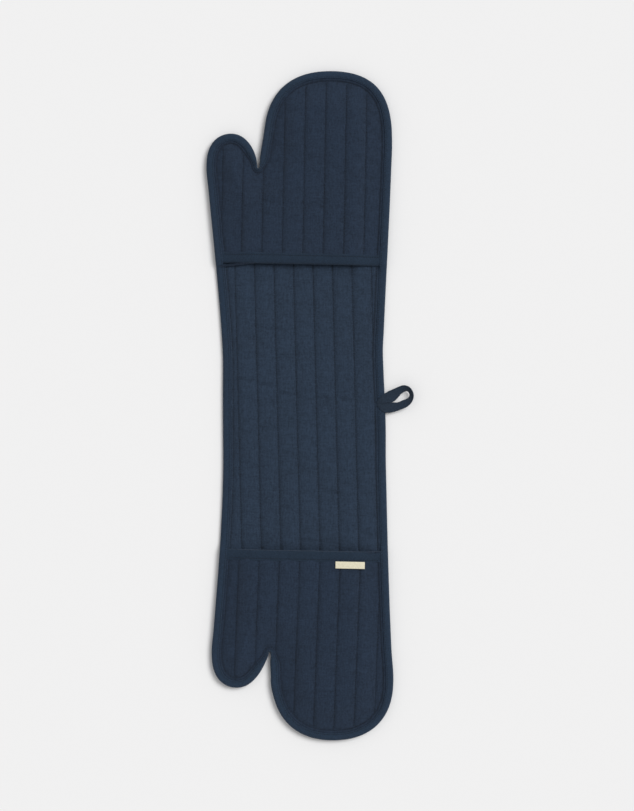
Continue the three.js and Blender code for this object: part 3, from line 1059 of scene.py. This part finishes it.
def sewn_row(line):
    """A mesh of stitches along a line of 3-D points."""
    points, far = evenly(line, 1.5 * MM)
    curve = bpy.data.curves.new("needle_path", "CURVE")
    curve.dimensions, curve.twist_mode = "3D", "Z_UP"
    spline = curve.splines.new("POLY")
    spline.points.add(len(points) - 1)
    spline.points.foreach_set("co", np.column_stack([points, np.ones(len(points))]).ravel())
    path = as_object("needle_path", curve)
    row = as_object("row", bead.copy())
    repeat = row.modifiers.new("repeat", "ARRAY")
    repeat.use_relative_offset, repeat.use_constant_offset = False, True
    repeat.constant_offset_displace = (PITCH, 0, 0)
    repeat.count = max(1, int(far / PITCH))
    follow = row.modifiers.new("follow", "CURVE")
    follow.object = path
    bpy.context.view_layer.update()
    mesh = evaluated(row)
    for o in (row, path):
        bpy.data.objects.remove(o)
    return mesh


def surface_tree(piece):
    bm = bmesh.new()
    bm.from_mesh(piece.data)
    tree = BVHTree.FromBMesh(bm)
    bm.free()
    return tree


RAY_FROM = 60 * MM  # how far over, or under, the table a line is when it is dropped


def sew(line, tree, up=True, over=0.08 * MM):
    """Stitches along a flat line, dropped on a surface from above, or from below, and lifted clear of it."""
    made = []
    for x, y in line:
        start, way = Vector((x, y, RAY_FROM if up else -RAY_FROM)), Vector((0, 0, -1 if up else 1))
        hit = tree.ray_cast(start, way)[0]
        if hit is not None:
            made.append((x, y, hit.z + (over if up else -over)))
    return [sewn_row(np.array(made))] if len(made) > 2 else []


def gather(name, meshes):
    bm = bmesh.new()
    for mesh in meshes:
        bm.from_mesh(mesh)
        bpy.data.meshes.remove(mesh)
    whole = bpy.data.meshes.new(name)
    bm.to_mesh(whole)
    bm.free()
    return as_object(name, whole, sewing_thread)


# %% [markdown]
# Which lines are sewn where is said with small tests. Each test is a function that is above 0 at the points
# of a line that belong, so a row is written once for the whole mitt and cut into the parts that show.

# %% The lines, and tests for their parts
def is_inside(p):
    """Whether a flat point is inside the bound edge."""
    x, y = p
    a, b = edge, np.roll(edge, -1, 0)
    crosses = (a[:, 1] > y) != (b[:, 1] > y)
    a, b = a[crosses], b[crosses]
    at_x = a[:, 0] + (y - a[:, 1]) / (b[:, 1] - a[:, 1]) * (b[:, 0] - a[:, 0])
    return (at_x > x).sum() % 2 == 1


def parts_where(line, ok, fewest):
    """The parts of a line where ok holds, as long as they have at least that many points."""
    breaks = np.flatnonzero(np.diff(np.concatenate([[0], ok.astype(int), [0]])))
    return [line[a:b] for a, b in zip(breaks[::2], breaks[1::2]) if b - a >= fewest]


def row_runs(rows):
    """The parts of all quilting lines that lie inside the seam, as flat lines."""
    ys = np.arange(-449, 450, 1.5) * MM
    made = []
    for number in range(-5, 6):
        line = np.column_stack([rows.at(number, ys), ys])
        ok = (inside_seam(line) > 0.4 * MM) & np.array([is_inside(p) for p in line])
        made += parts_where(line, ok, 5)
    return made


def closed_line(distance):
    line = edge + edge_in * np.asarray(distance)[:, None]
    line = np.roll(line, -start, axis=0)
    return np.concatenate([line, line[:1]])


def beyond(side, y=0.0):
    """Past a line across the strip, on its upper (1) or lower (-1) side."""
    return lambda line: (line[:, 1] - y) * side


def before_mouth(mouth, depth=0.0):
    return lambda line: depth - mouth.depth(line)


def past_mouth_tape(mouth):
    return lambda line: mouth.depth(line) - MOUTH_TAPE


def beside_middle(rows, way):
    """Left (-1) or right (1) of the middle row, which itself is sewn on the left."""
    return lambda line: way * (rows.across(line) - 0.01)


def sew_parts(lines, tests, tree, up=True):
    made = []
    for line in lines:
        for part in parts_where(line, np.all([test(line) > 0 for test in tests], axis=0), 3):
            made += sew(part, tree, up)
    return made


# %% [markdown]
# The rows of the strip show above in the band and below along its whole length. The rows of each front
# show above only. The seam beside the tape and the topstitch on the tape run round both faces.

# %% Sew every line
seam_line = closed_line(seam_in)
top_line = closed_line(tape_width - TOPSTITCH_IN)
strip_lines = row_runs(strip_rows)
MOUTH_TOPSTITCH_IN = 3.0 * MM


def sew_strip(end, mouth):
    half, band = beyond(mouth.side), before_mouth(mouth)
    cloth, tape_round = surface_tree(quilts[f"{end}_strip"]), surface_tree(bindings[end])
    found = sew_parts(strip_lines, [half, before_mouth(mouth, 6 * MM)], cloth)
    found += sew_parts(strip_lines, [half], cloth, up=False)
    found += sew_parts([seam_line], [half, band], cloth)
    found += sew_parts([seam_line], [half], cloth, up=False)
    found += sew_parts([top_line], [half], tape_round)
    found += sew_parts([top_line], [half], tape_round, up=False)
    return found


def sew_mouth(end, name, mouth, rows):
    """The topstitch of one half of a mouth binding, on both its faces."""
    way = -1 if name == "left" else 1
    first = rows.at(0, mouth.point[1]) + way * 0.5 * MM
    xs = np.linspace(first, seam_crossing(mouth, way, inside=-3.0 * MM), 80)
    line = np.array([mouth.place(x, MOUTH_TAPE - MOUTH_TOPSTITCH_IN) for x in xs])
    tree = surface_tree(mouth_bindings[end, name])
    return sew(line, tree) + sew(line, tree, up=False)


stitches = {}
for end, mouth in mouths.items():
    stitches[f"{end}_strip"] = gather(f"{end}_strip_stitching", sew_strip(end, mouth))
    rows, side = front_rows[end], mouth.side
    lines = [*row_runs(rows), seam_line]
    cuff_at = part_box(f"{end}_cuff_outer")[1 if side > 0 else 0].y
    regions = {
        "hand": [beyond(side, cuff_at)],
        "cuff_left": [beyond(-side, cuff_at), beside_middle(rows, -1)],
        "cuff_right": [beyond(-side, cuff_at), beside_middle(rows, 1)],
    }
    for region, tests in regions.items():
        tree = surface_tree(quilts[f"{end}_{region}"])
        found = sew_parts(lines, [*tests, past_mouth_tape(mouth)], tree)
        if region != "hand":
            found += sew_mouth(end, region.removeprefix("cuff_"), mouth, rows)
        stitches[f"{end}_{region}"] = gather(f"{end}_{region}_stitching", found)
print("stitching faces:", {k: len(o.data.polygons) for k, o in stitches.items()})

# %% [markdown]
# ## Hanging loop
# The loop is the same tape folded double, with both ends caught in the seam along the right edge. Its legs
# lie flat over the binding, and to turn back it has to stand on its edge at the far end. So its path gives
# a place, a lean and a half width at each step: lean 0 lies flat, and 65 degrees nearly stands.

# %% Loop
# x, y, z, lean in degrees and half width in mm, from the upper leg round to the lower one.
LOOP_PATH = [
    (99.2, 3.4, 5.3, 0, 2.0), (101.5, 4.6, 6.3, 0, 3.0), (105.5, 7.0, 7.3, 0, 4.6),
    (110.5, 10.0, 7.6, 0, 6.2), (116.5, 12.0, 7.6, 4, 7.8), (123.0, 16.2, 7.4, 12, 6.9),
    (129.5, 20.9, 7.2, 24, 5.5), (135.6, 23.2, 7.2, 42, 5.7), (140.6, 22.4, 7.3, 58, 5.6),
    (143.9, 18.9, 7.3, 65, 5.6), (145.3, 14.2, 7.2, 65, 5.6), (144.0, 9.4, 7.0, 56, 5.6),
    (140.4, 5.4, 6.8, 38, 5.6), (135.0, 2.2, 6.5, 18, 5.6), (128.5, -0.4, 6.3, 6, 5.3),
    (121.5, -1.8, 6.2, 0, 6.4), (114.5, -2.4, 6.1, 0, 7.2), (108.0, -2.0, 6.3, 0, 6.2),
    (102.8, 0.4, 6.1, 0, 3.2), (99.6, 2.2, 5.1, 0, 2.0),
]
HALF_THICK = 0.62
STEPS_EACH = 8
# One face of the tape: the place across it in shares of its half width, and its thickness there. The folded
# edges are plump, and a line of stitches beside each of them holds the layers down.
LOOP_FACE = [
    (-1.0, 0.0), (-0.97, 0.75), (-0.86, 1.0), (-0.76, 0.72), (-0.64, 1.0), (0.0, 1.1),
    (0.64, 1.0), (0.76, 0.72), (0.86, 1.0), (0.97, 0.75),
]
LOOP_SECTION = LOOP_FACE + [(-share, -thick) for share, thick in LOOP_FACE]


def loop_line():
    """The path of the loop as a smooth line of many steps."""
    path = np.array(LOOP_PATH, float)
    apart = np.linalg.norm(np.diff(path[:, :2], axis=0), axis=1)
    slope = np.gradient(path, np.concatenate([[0], np.cumsum(apart)]), axis=0)
    made = []
    for i, h in enumerate(apart):
        for t in np.arange(STEPS_EACH) / STEPS_EACH:
            made.append(hermite(path[i], path[i + 1], slope[i] * h, slope[i + 1] * h, t))
    return np.array([*made, path[-1]])


def loop_places():
    line = loop_line()
    way = np.gradient(line[:, :3], axis=0)
    way /= np.linalg.norm(way, axis=1)[:, None]
    places = []
    for (x, y, z, lean, half), forward in zip(line, way):
        outward = Vector((-forward[1], forward[0], 0)).normalized()
        across = outward * math.cos(math.radians(lean)) + Vector((0, 0, math.sin(math.radians(lean))))
        face = Vector(forward).cross(across).normalized()
        ring = [Vector((x, y, z)) + across * s * half + face * t * HALF_THICK for s, t in LOOP_SECTION]
        places.append([tuple(c * MM for c in p) for p in ring])
    return np.array(places)


loop = tape("hanging_loop_tape", loop_places(), loop_tape)
print("loop faces:", len(loop.data.polygons))

# %% [markdown]
# ## Label
# A cream woven ribbon folded in half, 39 mm wide, with its two cut ends caught under the lower mouth
# binding. It is left blank. The fold is at the bottom, and the two layers lie close together. A ribbon this
# small and stiff doesn't drape, so its section is drawn once and led from its left end to its right.

# %% Label
LABEL_LEFT, LABEL_RIGHT = 43.4 * MM, 82.5 * MM
LABEL_TUCK, LABEL_FOLD = -1.0 * MM, 7.75 * MM  # depths from the lower side of the mouth's tape
FOLD_ROUND, HALF_RIBBON = 0.35 * MM, 0.16 * MM
TUCK_DROP, TUCK_REACH = 0.7 * MM, 2 * MM  # how the ribbon goes down to where it is caught
LABEL_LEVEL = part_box("label")[0].z + 0.15 * MM


def label_section():
    """The folded ribbon as (depth, height): out along the lower layer, round, and back along the upper."""
    depth = np.linspace(LABEL_TUCK, LABEL_FOLD, 12)
    tucked = -TUCK_DROP * (1 - smooth((depth - LABEL_TUCK) / TUCK_REACH))
    turn = np.radians(np.linspace(-90, 90, 9))
    lower_part = np.column_stack([depth, tucked])
    round_part = np.column_stack([LABEL_FOLD + FOLD_ROUND * np.cos(turn), FOLD_ROUND * (1 + np.sin(turn))])
    upper_part = np.column_stack([depth, tucked + 2 * FOLD_ROUND])[::-1]
    middle = np.concatenate([lower_part, round_part, upper_part])
    way = np.gradient(middle, axis=0)
    way /= np.linalg.norm(way, axis=1)[:, None]
    side = np.stack([-way[:, 1], way[:, 0]], axis=1) * HALF_RIBBON
    return np.concatenate([middle + side, (middle - side)[::-1]])


def label_places():
    places, section = [], label_section()
    for share in np.linspace(0, 1, 40):
        x = LABEL_LEFT + share * (LABEL_RIGHT - LABEL_LEFT)
        level = LABEL_LEVEL + 0.10 * MM * math.sin(share * math.pi)
        places.append([(*mouths["lower"].place(x, MOUTH_TAPE + depth), level + z) for depth, z in section])
    return np.array(places)


label = tape("label_ribbon", label_places(), label_ribbon)
print("label faces:", len(label.data.polygons))

# %% [markdown]
# ## What rides on what
# The hand of each front and its stitches ride on that end's mitt. The strip halves, the edge bindings,
# the cuff halves, the mouth bindings, the label and the loop keep their places baked into their meshes.

# %% Bodies
SEWN_LEFT, SEWN_RIGHT = -104 * MM, 100 * MM  # x where a cuff's sides are sewn down
for end, side in (("upper", 1), ("lower", -1)):
    mitt, cuff_body, mouth = f"{end}_mitt", f"{end}_cuff", mouths[end]
    for piece in (quilts[f"{end}_strip"], bindings[end], stitches[f"{end}_strip"]):
        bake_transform(piece)
    for piece in (quilts[f"{end}_hand"], stitches[f"{end}_hand"]):
        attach(piece, mitt)
    rows = front_rows[end]
    near_y, far_y = mouth.point[1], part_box(f"{end}_cuff_outer")[1 if side > 0 else 0].y
    middles = [rows.at(0, near_y - side * 5 * MM), rows.at(0, far_y)]
    for name, edge_x, middle_x in (("left", SEWN_LEFT, min(middles)), ("right", SEWN_RIGHT, max(middles))):
        pieces = (quilts[f"{end}_cuff_{name}"], stitches[f"{end}_cuff_{name}"], mouth_bindings[end, name])
        for piece in pieces + ((label,) if (end, name) == ("lower", "right") else ()):
            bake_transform(piece)
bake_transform(loop)

# %% Hide the frame's parts
for end in ("upper", "lower"):
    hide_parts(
        "band_lining", "band_wadding", "band_face",
        *[f"{end}_back_{layer}" for layer in ("lining", "wadding", "face")],
    )
    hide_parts(*[f"{end}_hand_{layer}" for layer in ("lining", "wadding", "outer")])
    for name in ("left", "right"):
        cuff_layers = [f"{end}_cuff_{layer}" for layer in ("lining", "wadding", "outer")]
        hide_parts(*cuff_layers)
        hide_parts(f"{end}_mouth_binding")
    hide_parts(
        "band_binding_left", "band_binding_right",
        *[f"{end}_binding_{part}" for part in ("left", "right", "thumb", "fingers")],
    )
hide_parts("loop_tail", "hanging_loop")
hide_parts("label")

# %% [markdown]
# ## Floor
# A plain pale floor just under the mitt. It isn't part of the object.

# %% Floor
bm = bmesh.new()
bmesh.ops.create_grid(bm, x_segments=1, y_segments=1, size=40)
bmesh.ops.translate(bm, verts=bm.verts, vec=(0, 0, -0.3 * MM))
floor_mesh = bpy.data.meshes.new("studio_floor")
bm.to_mesh(floor_mesh)
bm.free()
floor_paint, _, _, floor_shader = material_with("pale_paper")
floor_shader.inputs["Base Color"].default_value = (0.849, 0.847, 0.848, 1)
floor_shader.inputs["Roughness"].default_value = 0.95
floor_shader.inputs["Specular IOR Level"].default_value = 0.1
floor = as_object("studio_floor", floor_mesh, floor_paint)
